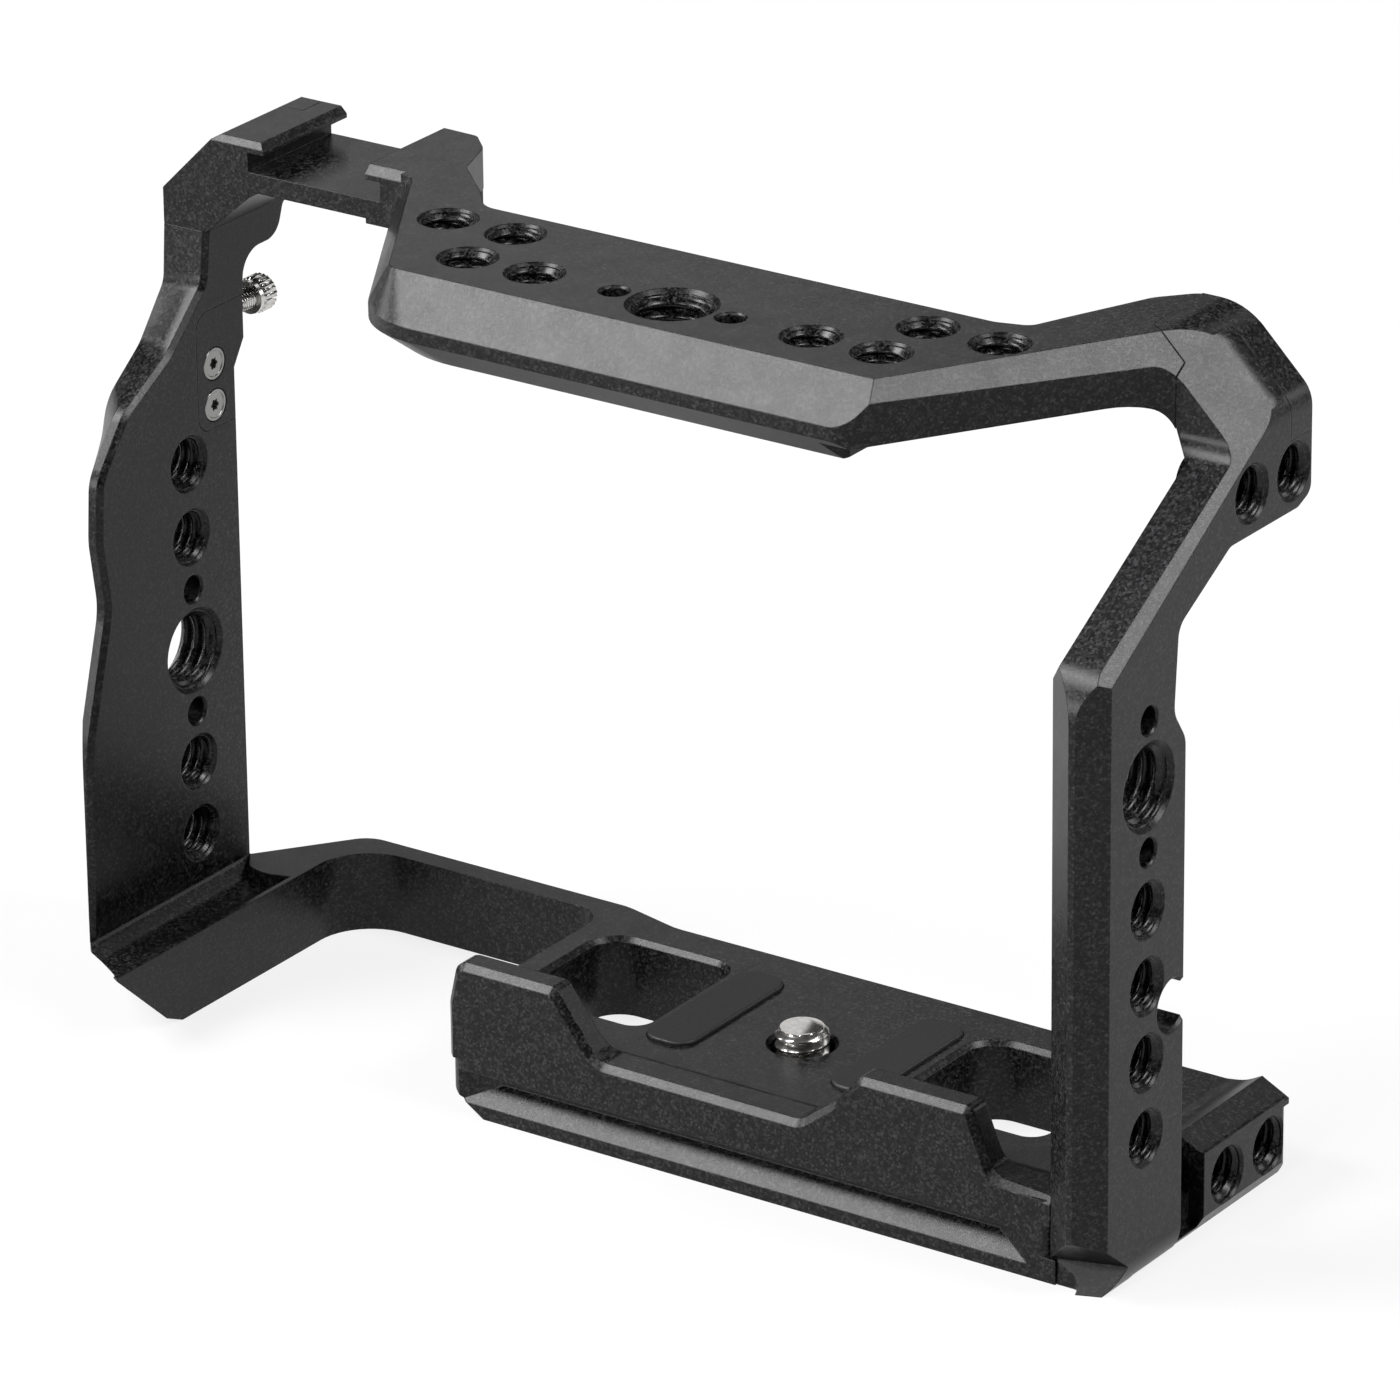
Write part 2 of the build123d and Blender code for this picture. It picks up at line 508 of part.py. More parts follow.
def haunch_hollow():
    """Room below the arm; it ends in the arc that leads down to the column's inner face."""
    radius = ARM_BOTTOM - HAUNCH_Z
    centre_x = COL_IN - radius
    hollow = rod((centre_x, -30, HAUNCH_Z), (0, 1, 0), radius, 60)
    beside = [(20, 60), (centre_x, 60), (centre_x, ARM_BOTTOM), (20, ARM_BOTTOM)]
    return hollow + front_solid(beside, -30, 30)


def envelope():
    """The outer corner seen from the front: a wide bevel between the top and the outer face."""
    points = [(-100, -20), (COL_OUT, -20), (COL_OUT, 83.5), (45.1, TOP_Z), (-100, TOP_Z)]
    return front_solid(points, -40, 40, {2: 4, 3: 8})


def corner_plane():
    length = sum(v * v for v in CORNER_N)
    return half_space([v * CORNER_D / length for v in CORNER_N], CORNER_N)


def column_share(grow):
    """Everything at the corner that is cut from the column's own block."""
    plan = [(40.2 - grow, 9.0 - grow), (40.0 - grow, 13.8), (41.3, 15.3 + grow), (60.0, 15.7 + grow),
            (60.0, -40.0), (45.0 - grow, -40.0), (45.0 - grow, 7.6 - grow), (42.1, 7.6 - grow)]
    upper = plan_solid(plan, 76.0, 96.0, {1: 1.2, 2: 1.2})
    lower = plan_solid([(44.0, -40), (60, -40), (60, 22), (44.0, 22)], 30.0, COLUMN_HEAD + grow)
    return upper + lower


# ---- right column -------------------------------------------------------------------
def right_column():
    body = side_solid([(COL_FRONT, -BASE_T), (COL_FRONT, 41.0), (COL_REAR, 41.0),
                       (COL_REAR, -BASE_T)], COL_IN, COL_OUT)
    body += corner_blank() & column_share(0)
    body -= corner_plane()
    body -= half_space((COL_OUT, -20.6, 0), (1, -1, 0))
    body -= half_space((COL_IN, -19.4, 0), (-0.664, -0.747, 0))
    strut_bevel = half_space((COL_IN, STRUT_Y, BEVEL_Z), (-4.84, -1.514, 2.579))
    bevel_end = half_space(BEVEL_END, (-2.447, -1.867, -0.811))
    body -= strut_bevel & bevel_end & Pos(0, -12, 30) * Box(200, 68, 104)

    # Foot: V notch that lets a dovetail clamp pass, rounded outer edge, pockets for the base.
    notch = half_space((COL_IN, -19.24, NOTCH_Z), (0.203, -0.603, -0.77))
    body -= notch & half_space((COL_IN, -19.24, NOTCH_Z), (0.283, -0.73, 0.62))
    clear = [(40.0, CLAMP_Y), (TOE_LEFT, CLAMP_Y), (TOE_LEFT, -30.0), (40.0, -30.0)]
    body -= plan_solid(clear, -BASE_T - 1, NOTCH_Z, {1: 0.9})
    skirt = front_solid([(48.6, -12), (COL_OUT + 1, -12), (COL_OUT + 1, -6.2), (48.6, -6.2)], -30, 0)
    body -= skirt - rod((48.6, -31, -6.2), (0, 1, 0), COL_OUT - 48.6, 32)
    body -= tongue(GAP)

    # Accessory threads, safety cable hole and assembly screws' threads.
    for z in COL_QUARTER_Z:
        body -= through_hole((COL_OUT, COL_AXIS_Y, z), (-1, 0, 0), QUARTER_R, QUARTER_MOUTH_R, 8.1)
    body -= locating_group((COL_OUT, COL_AXIS_Y, COL_THREE_EIGHTHS_Z), (-1, 0, 0), (0, 0, 1), 8.1)
    for y, z in CORNER_QUARTER:
        body -= through_hole((COL_OUT, y, z), (-1, 0, 0), QUARTER_R, QUARTER_MOUTH_R, 8.1)
    y, z = SAFETY_HOLE
    body -= through_hole((COL_OUT, y, z), (-1, 0, 0), SAFETY_HOLE_R, SAFETY_HOLE_R + 0.4, 8.1)
    x, y = COLUMN_SCREW
    body -= rod((x, y, -8), (0, 0, 1), M3_R + GAP, 10.3)
    for x, z in CORNER_SCREWS:
        body -= rod((x, TOP_REAR_Y, z), (0, -1, 0), M3_R + GAP, 10.1)
    return body


# ---- top plate ----------------------------------------------------------------------
def bar_end():
    """The bar's front bevel, front face and underside bevel, carried round its left end."""
    levels = []
    for z, front, offset, corner in BAR_LEVELS:
        x, y = BAR_LEFT[0] + offset * BAR_LEFT_N[0], BAR_LEFT[1] + offset * BAR_LEFT_N[1]
        run = BAR_LEFT_N[0] / BAR_LEFT_N[1]
        points = [(-75.0, SHOE_FRONT), (x - (SHOE_FRONT - y) / run, SHOE_FRONT),
                  (x - (front - y) / run, front), (60.0, front), (60.0, 25.0), (-75.0, 25.0)]
        levels.append(Plane.XY.offset(z) * section(points, {1: 2.5, 2: corner}))
    return loft(levels, ruled=True)


def top_plate():
    outline = [(RAIL_RIGHT, TOP_REAR_Y - 0.6), (RAIL_RIGHT, BAR_FRONT), (23.2, BAR_FRONT), ARM_CORNER,
               (ARM_END, WALL_Y), (ARM_END, TOP_REAR_Y), (39.5, TOP_REAR_Y), (35.8, 15.9), (31.4, 6.0),
               (29.4, 1.3), (25.5, BAR_REAR - 0.1), (-42.3, BAR_REAR), (-45.6, 4.2), (-51.6, 9.9),
               (-53.8, 16.2), (-56.8, 19.2)]
    rounding = {2: 4, 3: ARM_CORNER_R, 6: 3, 7: 4, 8: 5, 9: 2, 10: 3, 11: 3, 12: 3, 13: 3, 14: 2, 15: 1.5}
    body = plan_solid(outline, ARM_BOTTOM, TOP_Z, rounding)

    # Thicker rib under the main bar.
    rib = [(-62, BAR_FRONT), (19.0, BAR_FRONT), (21.6, -22.6), (21.6, RIB_REAR), (-62, RIB_REAR)]
    under = plan_solid(rib, BAR_BOTTOM, ARM_BOTTOM + 1, {1: 2, 2: 1.5})
    body += under - half_space((0, RIB_FOOT, BAR_BOTTOM), (0, 1, -1))
    body -= plan_solid([(-54.4, 4.0), (-42, 4.0), (-42, 22), (-54.4, 22)], 80, 87.2)
    body = body & bar_end() & envelope()

    # Cold shoe: left flange, bridge, undercut rails.
    body += front_solid(flange_profile(RAIL_LEFT), SHOE_FRONT, TOP_REAR_Y)
    for x in (-80.0, -60.7):
        body -= half_space((0, SHOE_FRONT, RAIL_BEVEL_Z), (0, -1, 1)) & Pos(x, 2, 91) * Box(8.4, 8, 6)
    body -= half_space((RAIL_LEFT, 0, 90.9), (1, 0, 1)) & Pos(-73, 12, 92) * Box(8, 20, 5)
    body += plan_solid([(-79.0, SHOE_FRONT), (-50.0, SHOE_FRONT), (-52.5, 12), (-54.5, 16.5),
                        (-57, TOP_REAR_Y), (-79.0, TOP_REAR_Y)], BRIDGE_BOTTOM, SHOE_FLOOR)
    slot = [(SHOE_LEFT, SHOE_FRONT - 5), (SHOE_RIGHT, SHOE_FRONT - 5), (SHOE_RIGHT, 30), (SHOE_LEFT, 30)]
    body -= plan_solid(slot, SHOE_FLOOR, SHOE_LIP)
    mouth_box = [(RAIL_LEFT, -10), (RAIL_RIGHT, -10), (RAIL_RIGHT, 30), (RAIL_LEFT, 30)]
    body -= plan_solid(mouth_box, SHOE_FLOOR, 96)

    # The corner and its seams with the column, and the seam with the left side plate.
    body += corner_blank() - column_share(GAP)
    body -= column_share(GAP) & Pos(50, 0, 80) * Box(30, 60, 60)
    body -= corner_plane()
    body -= front_solid(flange_profile(SPLIT_X), SPLIT_Y, TOP_REAR_Y + 1)
    body -= Pos(-85, 12, PLATE_HEAD - 5 + GAP) * Box(20, 30, 10)

    # Accessory threads and the assembly screws' threads.
    for x, y in TOP_QUARTER:
        body -= rod((x, y, TOP_Z + 1), (0, 0, -1), QUARTER_R, 14)
        body -= mouth((x, y, TOP_Z), (0, 0, -1), QUARTER_MOUTH_R, QUARTER_R)
    x, y = TOP_THREE_EIGHTHS
    body -= rod((x, y, TOP_Z + 1), (0, 0, -1), THREE_EIGHTHS_R, 14)
    body -= mouth((x, y, TOP_Z), (0, 0, -1), THREE_EIGHTHS_MOUTH_R, THREE_EIGHTHS_R)
    for side in (-1, 1):
        body -= rod((x + side * PIN_PITCH, y, TOP_Z + 1), (0, 0, -1), PIN_R, 14)
        body -= mouth((x + side * PIN_PITCH, y, TOP_Z), (0, 0, -1), PIN_MOUTH_R, PIN_R)
    for x, z in HEAD_SCREWS:
        body -= rod((x, TOP_REAR_Y, z), (0, -1, 0), M3_R + GAP, 10.1)
    for x, z in CORNER_SCREWS:
        body -= assembly_hole((x, TOP_REAR_Y - M3_SINK, z), (0, -1, 0), 8)
    return body


def main():
    save("base_plate", base_plate())
    save("left_side_plate", left_side_plate())
    save("top_plate", top_plate())
    save("right_column", right_column())
    save("lug_clamp_insert", lug_clamp_insert())
    save("insert_screw_upper", insert_screw(*INSERT_SCREWS[0]))
    save("insert_screw_lower", insert_screw(*INSERT_SCREWS[1]))
    save("lock_screw", lock_screw())
    save("lock_washer", lock_washer())
    save("camera_screw", camera_screw())
    save("camera_screw_washer", camera_screw_washer())
    save("retaining_ring", retaining_ring())
    save("pad_left", pad(*PADS[0]))
    save("pad_right", pad(*PADS[1]))
    for name, (x, y) in zip(("foot_screw_rear", "foot_screw_front"), FOOT_SCREWS):
        save(name, m3_screw((x, y, -BASE_T + M3_SINK), (0, 0, 1), 12))
    save("column_screw", m3_screw((*COLUMN_SCREW, -BASE_T + M3_SINK), (0, 0, 1), 10))
    for name, (x, z) in zip(("head_screw_outer", "head_screw_inner"), HEAD_SCREWS):
        save(name, m3_screw((x, TOP_REAR_Y - M3_SINK, z), (0, -1, 0), 8))
    for name, (x, z) in zip(("corner_screw_outer", "corner_screw_inner"), CORNER_SCREWS):
        save(name, m3_screw((x, TOP_REAR_Y - M3_SINK, z), (0, -1, 0), 8))


main()
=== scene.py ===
import json
import math

import bmesh
import bpy
import numpy as np
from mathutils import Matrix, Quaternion, Vector


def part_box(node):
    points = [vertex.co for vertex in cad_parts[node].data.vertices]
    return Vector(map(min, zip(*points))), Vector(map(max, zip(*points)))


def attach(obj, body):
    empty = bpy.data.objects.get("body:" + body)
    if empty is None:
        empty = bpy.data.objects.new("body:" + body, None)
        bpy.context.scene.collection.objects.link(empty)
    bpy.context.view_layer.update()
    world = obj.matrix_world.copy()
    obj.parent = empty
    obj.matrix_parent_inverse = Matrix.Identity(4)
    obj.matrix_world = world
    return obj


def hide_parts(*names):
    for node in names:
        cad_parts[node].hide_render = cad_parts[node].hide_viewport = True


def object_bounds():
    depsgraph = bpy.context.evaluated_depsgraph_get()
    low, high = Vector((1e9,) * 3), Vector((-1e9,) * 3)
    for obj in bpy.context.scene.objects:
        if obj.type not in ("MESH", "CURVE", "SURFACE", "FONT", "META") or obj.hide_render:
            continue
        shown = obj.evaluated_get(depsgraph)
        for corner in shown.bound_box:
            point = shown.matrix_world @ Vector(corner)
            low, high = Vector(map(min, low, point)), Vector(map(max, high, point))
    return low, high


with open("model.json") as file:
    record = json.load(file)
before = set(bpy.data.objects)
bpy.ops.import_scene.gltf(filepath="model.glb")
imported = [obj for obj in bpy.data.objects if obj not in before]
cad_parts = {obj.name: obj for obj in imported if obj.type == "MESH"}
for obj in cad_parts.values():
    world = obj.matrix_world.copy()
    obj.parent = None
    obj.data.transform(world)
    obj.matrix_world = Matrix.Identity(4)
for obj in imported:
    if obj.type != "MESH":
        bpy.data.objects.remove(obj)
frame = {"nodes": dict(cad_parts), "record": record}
cad_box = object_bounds()
MM = 0.001

# ---- Camera ---------------------------------------------------------------------------
# A long lens about a metre away, a little above the cage and to the right of its front.
LENS_MM = 236.5
CAMERA_AT = Vector((0.52750, -0.78180, 0.43874))
LOOK_AZIMUTH = 34.81
LOOK_ELEVATION = 22.75
LOOK_ROLL = -0.7


def towards(azimuth, elevation):
    """The unit vector to a place seen at an azimuth from -Y towards +X and a height, in degrees."""
    turn, rise = math.radians(azimuth), math.radians(elevation)
    return Vector((math.sin(turn) * math.cos(rise), -math.cos(turn) * math.cos(rise), math.sin(rise)))


camera_data = bpy.data.cameras.new("camera")
camera_data.lens = LENS_MM
camera_data.sensor_width = 36.0
camera_data.shift_x = 0.0133
camera_data.shift_y = -0.0064
camera_data.clip_start = 0.05
camera_data.clip_end = 20.0
camera = bpy.data.objects.new("camera", camera_data)
bpy.context.scene.collection.objects.link(camera)
camera.rotation_mode = "QUATERNION"
level = (-towards(LOOK_AZIMUTH, LOOK_ELEVATION)).to_track_quat("-Z", "Y")
camera.rotation_quaternion = level @ Quaternion((0, 0, 1), math.radians(LOOK_ROLL))
camera.location = CAMERA_AT
bpy.context.scene.camera = camera
bpy.context.scene.view_settings.view_transform = "Standard"


# ---- Floor and light ------------------------------------------------------------------
# A sheet of white card to stand on, and round studio lamps about the cage. The card glows
# by itself for the camera and in reflections, so that the lamps needn't bring it to white.
class Socket:
    """A shader value: adding, multiplying and so on writes the Math nodes."""

    def __init__(self, tree, output):
        self.tree = tree
        self.output = output

    def math(self, operation, *values):
        return node(self.tree, "ShaderNodeMath", {"operation": operation}, values)

    def __add__(self, other):
        return self.math("ADD", self, other)

    def __mul__(self, other):
        return self.math("MULTIPLY", self, other)

    __radd__ = __add__
    __rmul__ = __mul__


def node(tree, kind, settings=None, inputs=(), output=0):
    """Add one node: its settings first, then the values or links of its sockets."""
    made = tree.nodes.new(kind)
    for name, value in (settings or {}).items():
        setattr(made, name, value)
    pairs = inputs.items() if isinstance(inputs, dict) else enumerate(inputs)
    for key, value in pairs:
        if isinstance(value, Socket):
            tree.links.new(value.output, made.inputs[key])
        elif value is not None:
            made.inputs[key].default_value = value
    return Socket(tree, made.outputs[output])


def start_material(name):
    """A material with its node tree and its Principled shader."""
    material = bpy.data.materials.new(name)
    material.use_nodes = True
    return material, material.node_tree, material.node_tree.nodes["Principled BSDF"]


CARD_RADIUS = 6.0
CARD_GLOW = 0.78
CARD_COLOUR = (0.13, 0.13, 0.13, 1)

card, tree, shader = start_material("white_card")
shader.inputs["Base Color"].default_value = CARD_COLOUR
shader.inputs["Roughness"].default_value = 1.0
shader.inputs["Specular IOR Level"].default_value = 0.0
seen = [node(tree, "ShaderNodeLightPath", output=name)
        for name in ("Is Camera Ray", "Is Glossy Ray", "Is Transmission Ray")]
direct = seen[0] + seen[1] + seen[2]
glow = node(tree, "ShaderNodeEmission", {}, {"Color": (1, 1, 1, 1), "Strength": direct * CARD_GLOW})
lit = node(tree, "ShaderNodeAddShader", {}, [Socket(tree, shader.outputs[0]), glow])
tree.links.new(lit.output, tree.nodes["Material Output"].inputs["Surface"])
bpy.ops.mesh.primitive_circle_add(vertices=96, radius=CARD_RADIUS, fill_type="NGON",
                                  location=(0, 0, cad_box[0].z))
floor = bpy.context.object
floor.name = "floor"
floor.data.materials.append(card)

ROOM_LIGHT = 0.04
world = bpy.data.worlds.new("studio")
bpy.context.scene.world = world
world.use_nodes = True
background = world.node_tree.nodes["Background"]
background.inputs["Color"].default_value = (1, 1, 1, 1)
background.inputs["Strength"].default_value = ROOM_LIGHT

# Each lamp: azimuth and height of its place in degrees, diameter in metres, brightness.
LAMP_DISTANCE = 1.5
LAMP_AIM = Vector((-0.018, -0.004, 0.04))
LAMPS = {"key_left": (305, 48, 0.70, 24.0),
         "side_right": (97, 46, 0.66, 21.0),
         "front": (5, 37, 0.40, 26.0),
         "low_left": (283, 17, 0.48, 10.5),
         "low_front": (328, 10, 0.48, 20.0),
         "back_right": (145, 16, 0.48, 4.0),
         "back": (173, 40, 0.48, 1.5),
         "back_left": (218, 25, 0.48, 1.2)}
for name, (azimuth, elevation, size, brightness) in LAMPS.items():
    lamp = bpy.data.lights.new(name, "AREA")
    lamp.shape = "DISK"
    lamp.size = size
    lamp.energy = brightness * (math.pi * size / 2) ** 2
    item = bpy.data.objects.new(name, lamp)
    item.location = LAMP_AIM + LAMP_DISTANCE * towards(azimuth, elevation)
    item.rotation_mode = "QUATERNION"
    item.rotation_quaternion = (-towards(azimuth, elevation)).to_track_quat("-Z", "Y")
    bpy.context.scene.collection.objects.link(item)


# ---- Cage plates ----------------------------------------------------------------------
# Base, side plate, top plate, column and the lug clamp's block: milled aluminium, its edges
# broken with a small chamfer, then sand-blasted and anodised black.
EDGE = 0.18 * MM
SHARP = math.radians(28)
SPECKS_PER_METRE = 3800.0
PATCHES_PER_METRE = 260.0
# The next two set a painted highlight: a few specks of much lighter base colour that stand in for the
# glints of the blasted face.
FEW_PAINTED_GLINTS = 3.0
BRIGHTEST_PAINTED_GLINT = 5.0
BLASTED_SHINE = 0.22
GRAIN_DEPTH = 0.06 * MM


def anodised(name, colour, rough, grain):
    """Black anodising: small cells that differ in roughness and height as if blasted, and in tone, where a
    few bright cells in the base colour are a painted highlight that stands in for the sparkle of the
    blasted face.
    """
    material, tree, shader = start_material(name)
    place = node(tree, "ShaderNodeTexCoord", output="Object")
    speck = node(tree, "ShaderNodeTexVoronoi", {}, {"Vector": place, "Scale": SPECKS_PER_METRE},
                 output="Color")
    patch = node(tree, "ShaderNodeTexNoise", {}, {"Vector": place, "Scale": PATCHES_PER_METRE,
                                                 "Detail": 3.0})
    # Painted highlight: cubing and scaling each cell's random value lifts a few cells' base colour far
    # above the rest, as painted glints of sparkle.
    painted_glint_tone = speck.math("POWER", speck, FEW_PAINTED_GLINTS) * BRIGHTEST_PAINTED_GLINT
    colour_with_painted_glints = node(tree, "ShaderNodeMix", {"data_type": "RGBA", "blend_type": "MULTIPLY"},
                {0: 1.0, 6: (*colour, 1), 7: painted_glint_tone}, output=2)
    tree.links.new(colour_with_painted_glints.output, shader.inputs["Base Color"])
    value = speck * 0.12 + patch * 0.08 + (rough - 0.1)
    tree.links.new(value.output, shader.inputs["Roughness"])
    shader.inputs["Specular IOR Level"].default_value = BLASTED_SHINE
    broken = node(tree, "ShaderNodeBevel", {"samples": 6}, {"Radius": EDGE})
    bump = node(tree, "ShaderNodeBump", {}, {"Strength": grain, "Distance": GRAIN_DEPTH, "Height": speck,
                                             "Normal": broken})
    tree.links.new(bump.output, shader.inputs["Normal"])
    return material


def finished_plate(source, material):
    """A CAD node's mesh with its flat faces joined, so that they shade flat up to their edges."""
    mesh = bmesh.new()
    mesh.from_mesh(source.data)
    bmesh.ops.remove_doubles(mesh, verts=mesh.verts, dist=0.002 * MM)
    bmesh.ops.dissolve_limit(mesh, angle_limit=math.radians(0.5), verts=mesh.verts, edges=mesh.edges)
    for face in mesh.faces:
        face.smooth = True
    hard = np.array([edge.calc_face_angle(0.0) for edge in mesh.edges]) > SHARP
    data = bpy.data.meshes.new(source.name + "_finished")
    mesh.to_mesh(data)
    mesh.free()
    sharp = data.attributes.new("sharp_edge", "BOOLEAN", "EDGE")
    sharp.data.foreach_set("value", hard)
    item = bpy.data.objects.new(data.name, data)
    bpy.context.scene.collection.objects.link(item)
    even = item.modifiers.new("even_shading", "WEIGHTED_NORMAL")
    even.keep_sharp = True
    even.weight = 100
    item.data.materials.append(material)
    return item


ANODISED = anodised("black_anodising", (0.0075, 0.0075, 0.008), 0.34, 0.2)
for plate in ("base_plate", "left_side_plate", "top_plate", "right_column", "lug_clamp_insert"):
    item = finished_plate(frame["nodes"][plate], ANODISED)
    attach(item, "cage")
    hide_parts(plate)


# ---- Accessory threads ----------------------------------------------------------------
# The 1/4 in and 3/8 in threads are cut in the plates themselves, after the countersinks, so
# that each thread runs out at 45 degrees in its mouth. Their flanks are smoother than the faces.
THREADS = [mount for mount in frame["record"]["mounts"] if mount["kind"] == "threaded_hole"]
COARSE_PITCH = {3.175: 1.27, 4.7625: 1.5875}
DEPTH_PER_PITCH = 0.541
RINGS_PER_PITCH = 10
ROUND = 56


def thread_height(turns):
    """How far a 60 degree thread stands up at a number of pitches along it: 0 root, 1 crest."""
    fold = np.abs(2 * (turns % 1) - 1)
    return np.clip((fold - 0.125) / 0.625, 0, 1)


def across_axis(axis):
    """Two unit vectors u, v at right angles to an axis, so that u, v, axis is right-handed."""
    w = np.array(axis, float)
    u = np.cross(w, (0, 0, 1) if abs(w[2]) < 0.5 else (1, 0, 0))
    u /= np.linalg.norm(u)
    return u, np.cross(w, u)


def ring_points(centre, axis, along, radius):
    """Points centre + along * w + radius * (cos a * u + sin a * v) on a grid of rings, angles."""
    u, v = across_axis(axis)
    angle = np.linspace(0, 2 * np.pi, radius.shape[1], endpoint=False)
    spoke = np.cos(angle)[:, None] * u + np.sin(angle)[:, None] * v
    ring = np.array(centre) + along[:, None, None] * np.array(axis, float)
    return (ring + radius[:, :, None] * spoke[None]).reshape(-1, 3)


def ring_faces(rings, count, closed):
    """Quads between each ring and the next; the last ring joins the first where it is closed."""
    row = np.arange(rings if closed else rings - 1)[:, None]
    here = np.arange(count)[None]
    after = (here + 1) % count
    upper = (row + 1) % rings
    low, high = row * count, upper * count
    quads = np.stack([low + here, low + after, high + after, high + here], 2)
    return quads.reshape(-1, 4)


def new_piece(name, points, faces, material, body, sharp_angle=None):
    """Put points and faces in a mesh object, turn its faces outwards and say what it rides."""
    data = bpy.data.meshes.new(name)
    data.from_pydata(points, [], faces)
    mesh = bmesh.new()
    mesh.from_mesh(data)
    bmesh.ops.recalc_face_normals(mesh, faces=mesh.faces)
    for face in mesh.faces:
        face.smooth = True
    mesh.to_mesh(data)
    mesh.free()
    if sharp_angle:
        data.set_sharp_from_angle(angle=math.radians(sharp_angle))
    item = bpy.data.objects.new(name, data)
    bpy.context.scene.collection.objects.link(item)
    item.data.materials.append(material)
    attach(item, body)
    return item


def thread_shell(mount):
    """A closed sleeve for one hole: the thread inside, and a skin just within the metal."""
    major, length = mount["dims"]["r_mm"], mount["dims"]["length_mm"]
    pitch = COARSE_PITCH[major]
    steps = int(length / pitch * RINGS_PER_PITCH)
    z = np.linspace(-length / 2, length / 2, steps)
    angle = np.linspace(0, 1, ROUND, endpoint=False)
    height = thread_height(z[:, None] / pitch - angle[None])
    from_end = (length / 2 - np.abs(z))[:, None]
    inner = major - 0.03 - np.minimum(height * DEPTH_PER_PITCH * pitch, from_end)
    skin = np.full((2, ROUND), major + 0.02)
    along = np.concatenate([z, [length / 2, -length / 2]]) * MM
    radius = np.concatenate([inner, skin]) * MM
    points = ring_points(mount["pos_m"], mount["axis"], along, radius)
    return points, ring_faces(len(along), ROUND, True)


THREADED = anodised("black_thread", (0.008, 0.008, 0.0085), 0.26, 0.15)
for place in ("top", "left", "column", "corner", "block"):
    points, faces, start = [], [], 0
    for mount in THREADS:
        if mount["name"].startswith(place + "_"):
            shell_points, shell_faces = thread_shell(mount)
            points.append(shell_points)
            faces.append(shell_faces + start)
            start += len(shell_points)
    new_piece(place + "_threads", np.concatenate(points), np.concatenate(faces), THREADED, "cage")


# ---- Camera screw ---------------------------------------------------------------------
# Nickel-plated 1/4 in screw with a slotted head, captive in the base, and the washer on its
# head. The black snap ring below keeps both in.
SCREW_MAJOR = 3.13
SCREW_PITCH = 1.27
SCREW_DEPTH = 0.78
SCREW_TIP_Z = 2.1
SCREW_CHAMFER = 0.6
SCREW_RINGS = 90
SCREW_ROUND = 64


def plated(name, colour, rough, grain):
    """Plated steel with fine turning marks in its roughness."""
    material, tree, shader = start_material(name)
    place = node(tree, "ShaderNodeTexCoord", output="Object")
    marks = node(tree, "ShaderNodeTexNoise", {}, {"Vector": place, "Scale": 1600.0, "Detail": 4.0})
    shader.inputs["Base Color"].default_value = (*colour, 1)
    shader.inputs["Metallic"].default_value = 1.0
    value = marks * grain + (rough - grain / 2)
    tree.links.new(value.output, shader.inputs["Roughness"])
    return material


def capped_rings(centre, axis, along, radius):
    """A closed shell of rings with a flat fan on its first and on its last ring."""
    points = ring_points(centre, axis, along, radius)
    rings, count = radius.shape
    first = (np.arange(count)[::-1]).tolist()
    last = (np.arange(count) + (rings - 1) * count).tolist()
    return points, ring_faces(rings, count, False).tolist() + [first, last]


NICKEL = plated("nickel_plate", (0.56, 0.55, 0.53), 0.24, 0.16)
DULL_NICKEL = plated("dull_nickel", (0.26, 0.26, 0.255), 0.34, 0.16)
DARK_STEEL = plated("dark_steel", (0.045, 0.045, 0.047), 0.36, 0.12)
head_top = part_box("camera_screw_washer")[0].z / MM - 0.05
z = np.linspace(head_top - 0.3, SCREW_TIP_Z, SCREW_RINGS)
turns = np.linspace(0, 1, SCREW_ROUND, endpoint=False)
height = thread_height(z[:, None] / SCREW_PITCH - turns[None] + 0.5)
radius = SCREW_MAJOR - SCREW_DEPTH * (1 - height)
radius = np.minimum(radius, SCREW_MAJOR - SCREW_CHAMFER + (SCREW_TIP_Z - z)[:, None])
points, faces = capped_rings((0, 0, 0), (0, 0, 1), z * MM, radius * MM)
item = new_piece("camera_screw_thread", points, faces, NICKEL, "screw", 40)
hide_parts("camera_screw")

mesh = bmesh.new()
mesh.from_mesh(frame["nodes"]["camera_screw"].data)
bmesh.ops.remove_doubles(mesh, verts=mesh.verts, dist=0.002 * MM)
cut = bmesh.ops.bisect_plane(mesh, geom=mesh.verts[:] + mesh.edges[:] + mesh.faces[:], clear_outer=True,
                             plane_co=(0, 0, (head_top - 0.01) * MM), plane_no=(0, 0, 1))
bmesh.ops.holes_fill(mesh, edges=[part for part in cut["geom_cut"] if isinstance(part, bmesh.types.BMEdge)])
data = bpy.data.meshes.new("camera_screw_head")
mesh.to_mesh(data)
mesh.free()
item = bpy.data.objects.new("camera_screw_head", data)
bpy.context.scene.collection.objects.link(item)
item.data.materials.append(NICKEL)
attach(item, "screw")
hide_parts("camera_screw")


def finish_node(name, material):
    """Give a CAD node its finish in place of the plain one."""
    frame["nodes"][name].data.materials.clear()
    frame["nodes"][name].data.materials.append(material)


finish_node("camera_screw_washer", NICKEL)
finish_node("retaining_ring", DARK_STEEL)


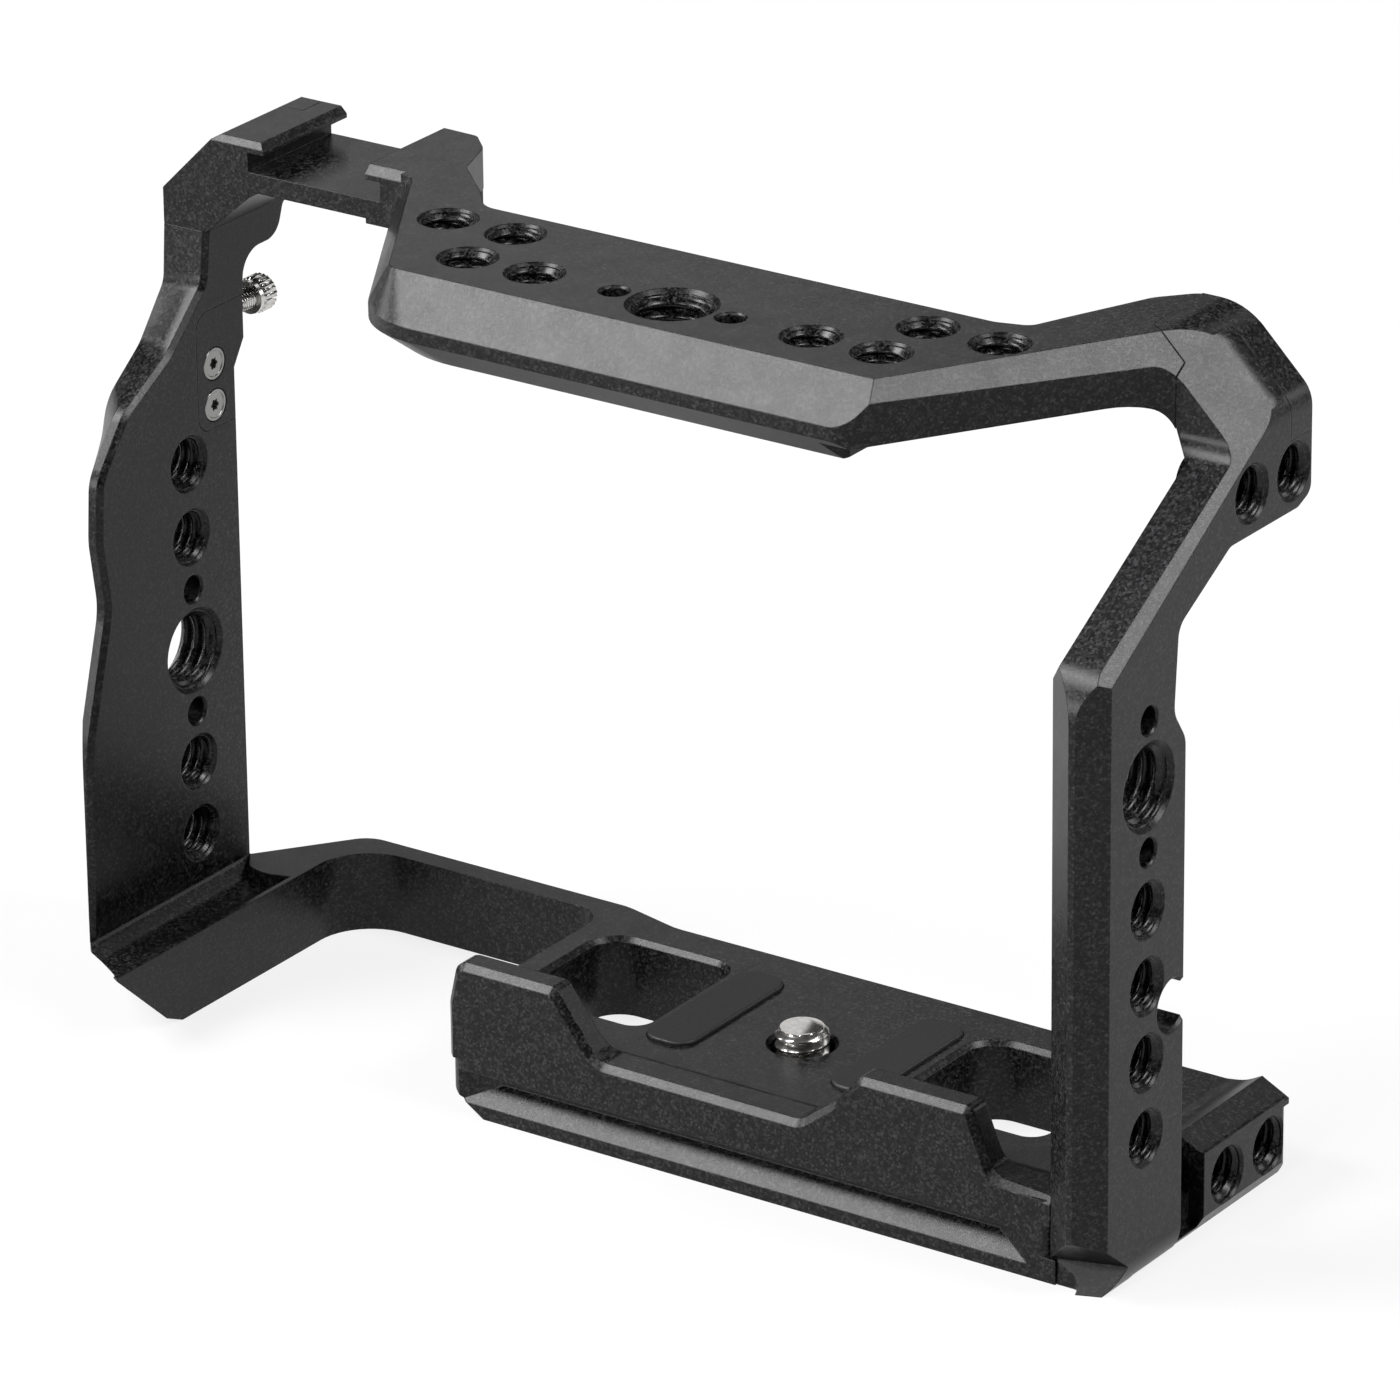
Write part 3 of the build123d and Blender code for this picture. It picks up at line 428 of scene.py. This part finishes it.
# ---- Strap lug clamp ------------------------------------------------------------------
# Two small flat-head screws hold its block, and a knurled cap screw with a washer closes it
# on the lug. All are nickel-plated; the cap screw shows its M2.5 thread beyond the washer.
CLAMP_ROUND = 96
LOCK_RADIUS = 1.25
LOCK_PITCH = 0.45
LOCK_DEPTH = 0.26
LOCK_NECK = 0.3
LOCK_CAP = 2.5
LOCK_RINGS = 170
KNURLS = 24


def hexagon(flats, count):
    """Radius at each angle of a hexagon with that distance between its flats."""
    angle = np.linspace(0, 2 * np.pi, count, endpoint=False)
    return flats / 2 / np.cos((angle + np.pi / 6) % (np.pi / 3) - np.pi / 6)


def knurl(low, high, teeth, count):
    """Radius at each angle that rises and falls evenly, once for each tooth."""
    turn = np.linspace(0, teeth, count, endpoint=False)
    return high - (high - low) * np.abs(2 * (turn % 1) - 1)


def even(radius):
    return np.full(CLAMP_ROUND, radius)


low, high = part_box("lock_screw")
axis_x, axis_z = (low.x + high.x) / 2, (low.z + high.z) / 2
tip_y, cap_y = low.y / MM, high.y / MM
head_y = cap_y - LOCK_CAP
shank = np.linspace(tip_y, head_y - LOCK_NECK, LOCK_RINGS)
turns = np.linspace(0, 1, CLAMP_ROUND, endpoint=False)
shank_height = thread_height(shank[:, None] / LOCK_PITCH - turns[None])
shank_radius = LOCK_RADIUS - LOCK_DEPTH * (1 - shank_height)
shank_radius = np.minimum(shank_radius, LOCK_RADIUS - 0.3 + (shank - tip_y)[:, None])
low_knurl = knurl(2.02, 2.05, KNURLS, CLAMP_ROUND)
high_knurl = knurl(2.08, 2.25, KNURLS, CLAMP_ROUND)
head = [(head_y - LOCK_NECK, even(1.1)), (head_y, even(1.1)), (head_y, even(1.9)),
        (head_y + 0.15, low_knurl), (head_y + 0.3, high_knurl),
        (cap_y - 0.35, high_knurl), (cap_y - 0.2, low_knurl),
        (cap_y - 0.05, even(1.88)), (cap_y, even(1.78)), (cap_y, even(1.25)),
        (cap_y - 0.08, hexagon(2.0, CLAMP_ROUND)), (cap_y - 1.3, hexagon(2.0, CLAMP_ROUND)),
        (cap_y - 1.5, even(0.3))]
along = np.concatenate([shank, [place for place, _ in head]])
radius = np.concatenate([shank_radius, np.array([ring for _, ring in head])])
points, faces = capped_rings((axis_x, 0, axis_z), (0, 1, 0), along * MM, radius * MM)
item = new_piece("lock_screw_knurled", points, faces, NICKEL, "lock", 35)
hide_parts("lock_screw")
finish_node("lock_washer", NICKEL)

for name in ("insert_screw_upper", "insert_screw_lower"):
    low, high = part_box(name)
    face_x = high.x / MM
    lobes = 0.62 + 0.09 * np.cos(6 * np.linspace(0, 2 * np.pi, CLAMP_ROUND, endpoint=False))
    rings = [(-4.9, even(0.85)), (-4.7, even(1.0)), (-1.0, even(1.0)), (-0.07, even(1.93)), (0, even(1.86)),
             (0, even(1.62)), (-0.09, even(1.5)), (-0.09, lobes + 0.06), (-0.16, lobes), (-0.85, lobes),
             (-0.95, even(0.2))]
    along = np.array([place for place, _ in rings]) + face_x
    radius = np.array([ring for _, ring in rings])
    centre = (0, (low.y + high.y) / 2, (low.z + high.z) / 2)
    points, faces = capped_rings(centre, (1, 0, 0), along * MM, radius * MM)
    item = new_piece(name + "_turned", points, faces, DULL_NICKEL, "cage", 30)
    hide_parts(name)


# ---- Assembly screws ------------------------------------------------------------------
# Low cap screws in counterbores at the back and the underside, blackened steel.
for name in ("foot_screw_rear", "foot_screw_front", "column_screw", "head_screw_outer", "head_screw_inner",
             "corner_screw_outer", "corner_screw_inner"):
    finish_node(name, DARK_STEEL)


# ---- Rubber pads ----------------------------------------------------------------------
# Two moulded strips let into the seat, so that the camera body does not turn or mark.
def rubber(name):
    """Dull black rubber with a fine moulded grain."""
    material, tree, shader = start_material(name)
    place = node(tree, "ShaderNodeTexCoord", output="Object")
    grain = node(tree, "ShaderNodeTexNoise", {}, {"Vector": place, "Scale": 3600.0, "Detail": 3.0})
    shader.inputs["Base Color"].default_value = (0.010, 0.010, 0.010, 1)
    shader.inputs["Specular IOR Level"].default_value = 0.4
    value = grain * 0.2 + 0.42
    tree.links.new(value.output, shader.inputs["Roughness"])
    bump = node(tree, "ShaderNodeBump", {}, {"Strength": 0.5, "Distance": 0.00005, "Height": grain})
    tree.links.new(bump.output, shader.inputs["Normal"])
    return material


RUBBER = rubber("pad_rubber")
finish_node("pad_left", RUBBER)
finish_node("pad_right", RUBBER)
